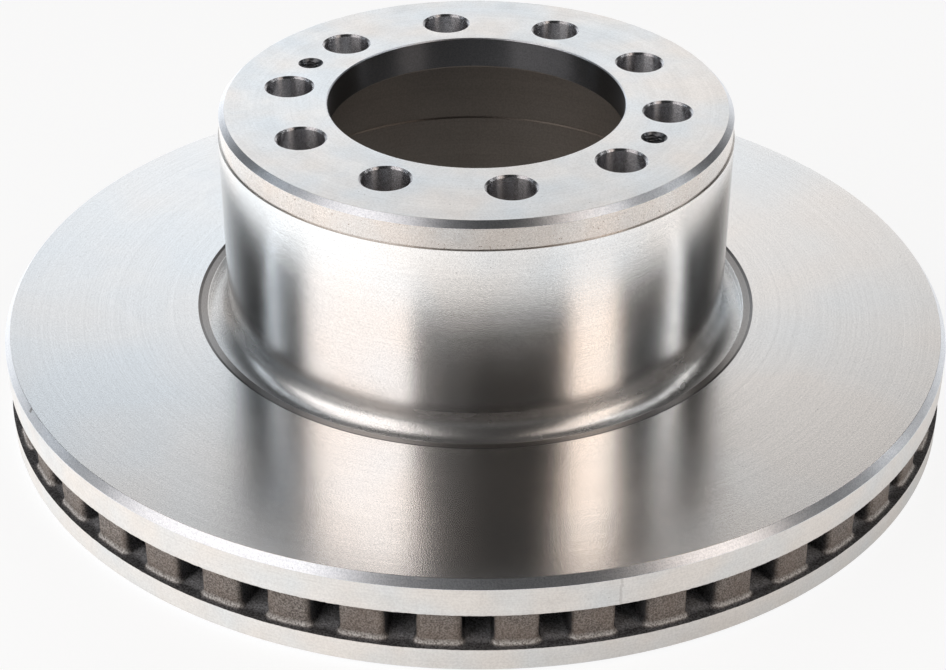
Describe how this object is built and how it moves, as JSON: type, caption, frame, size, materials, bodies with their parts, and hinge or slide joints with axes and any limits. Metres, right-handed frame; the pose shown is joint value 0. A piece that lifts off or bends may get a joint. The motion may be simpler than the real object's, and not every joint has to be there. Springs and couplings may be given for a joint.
{
  "type": "brake disc",
  "caption": "Ventilated brake disc with a deep hat, a ring of radial vanes, a bolt circle round the centring bore and threaded holes for pulling it off.",
  "frame": {"origin": "centre of the free friction face, on the axis of rotation", "axes": "+Z along the axis of rotation, from the free friction face to the hat's end face; +X through one bolt hole"},
  "size_m": [0.43, 0.43, 0.1425],
  "materials": {
    "iron": "machined, with sand-cast surfaces between the plates"
  },
  "bodies": {
    "root": {"brake_disc": "iron"}
  },
  "joints": []
}
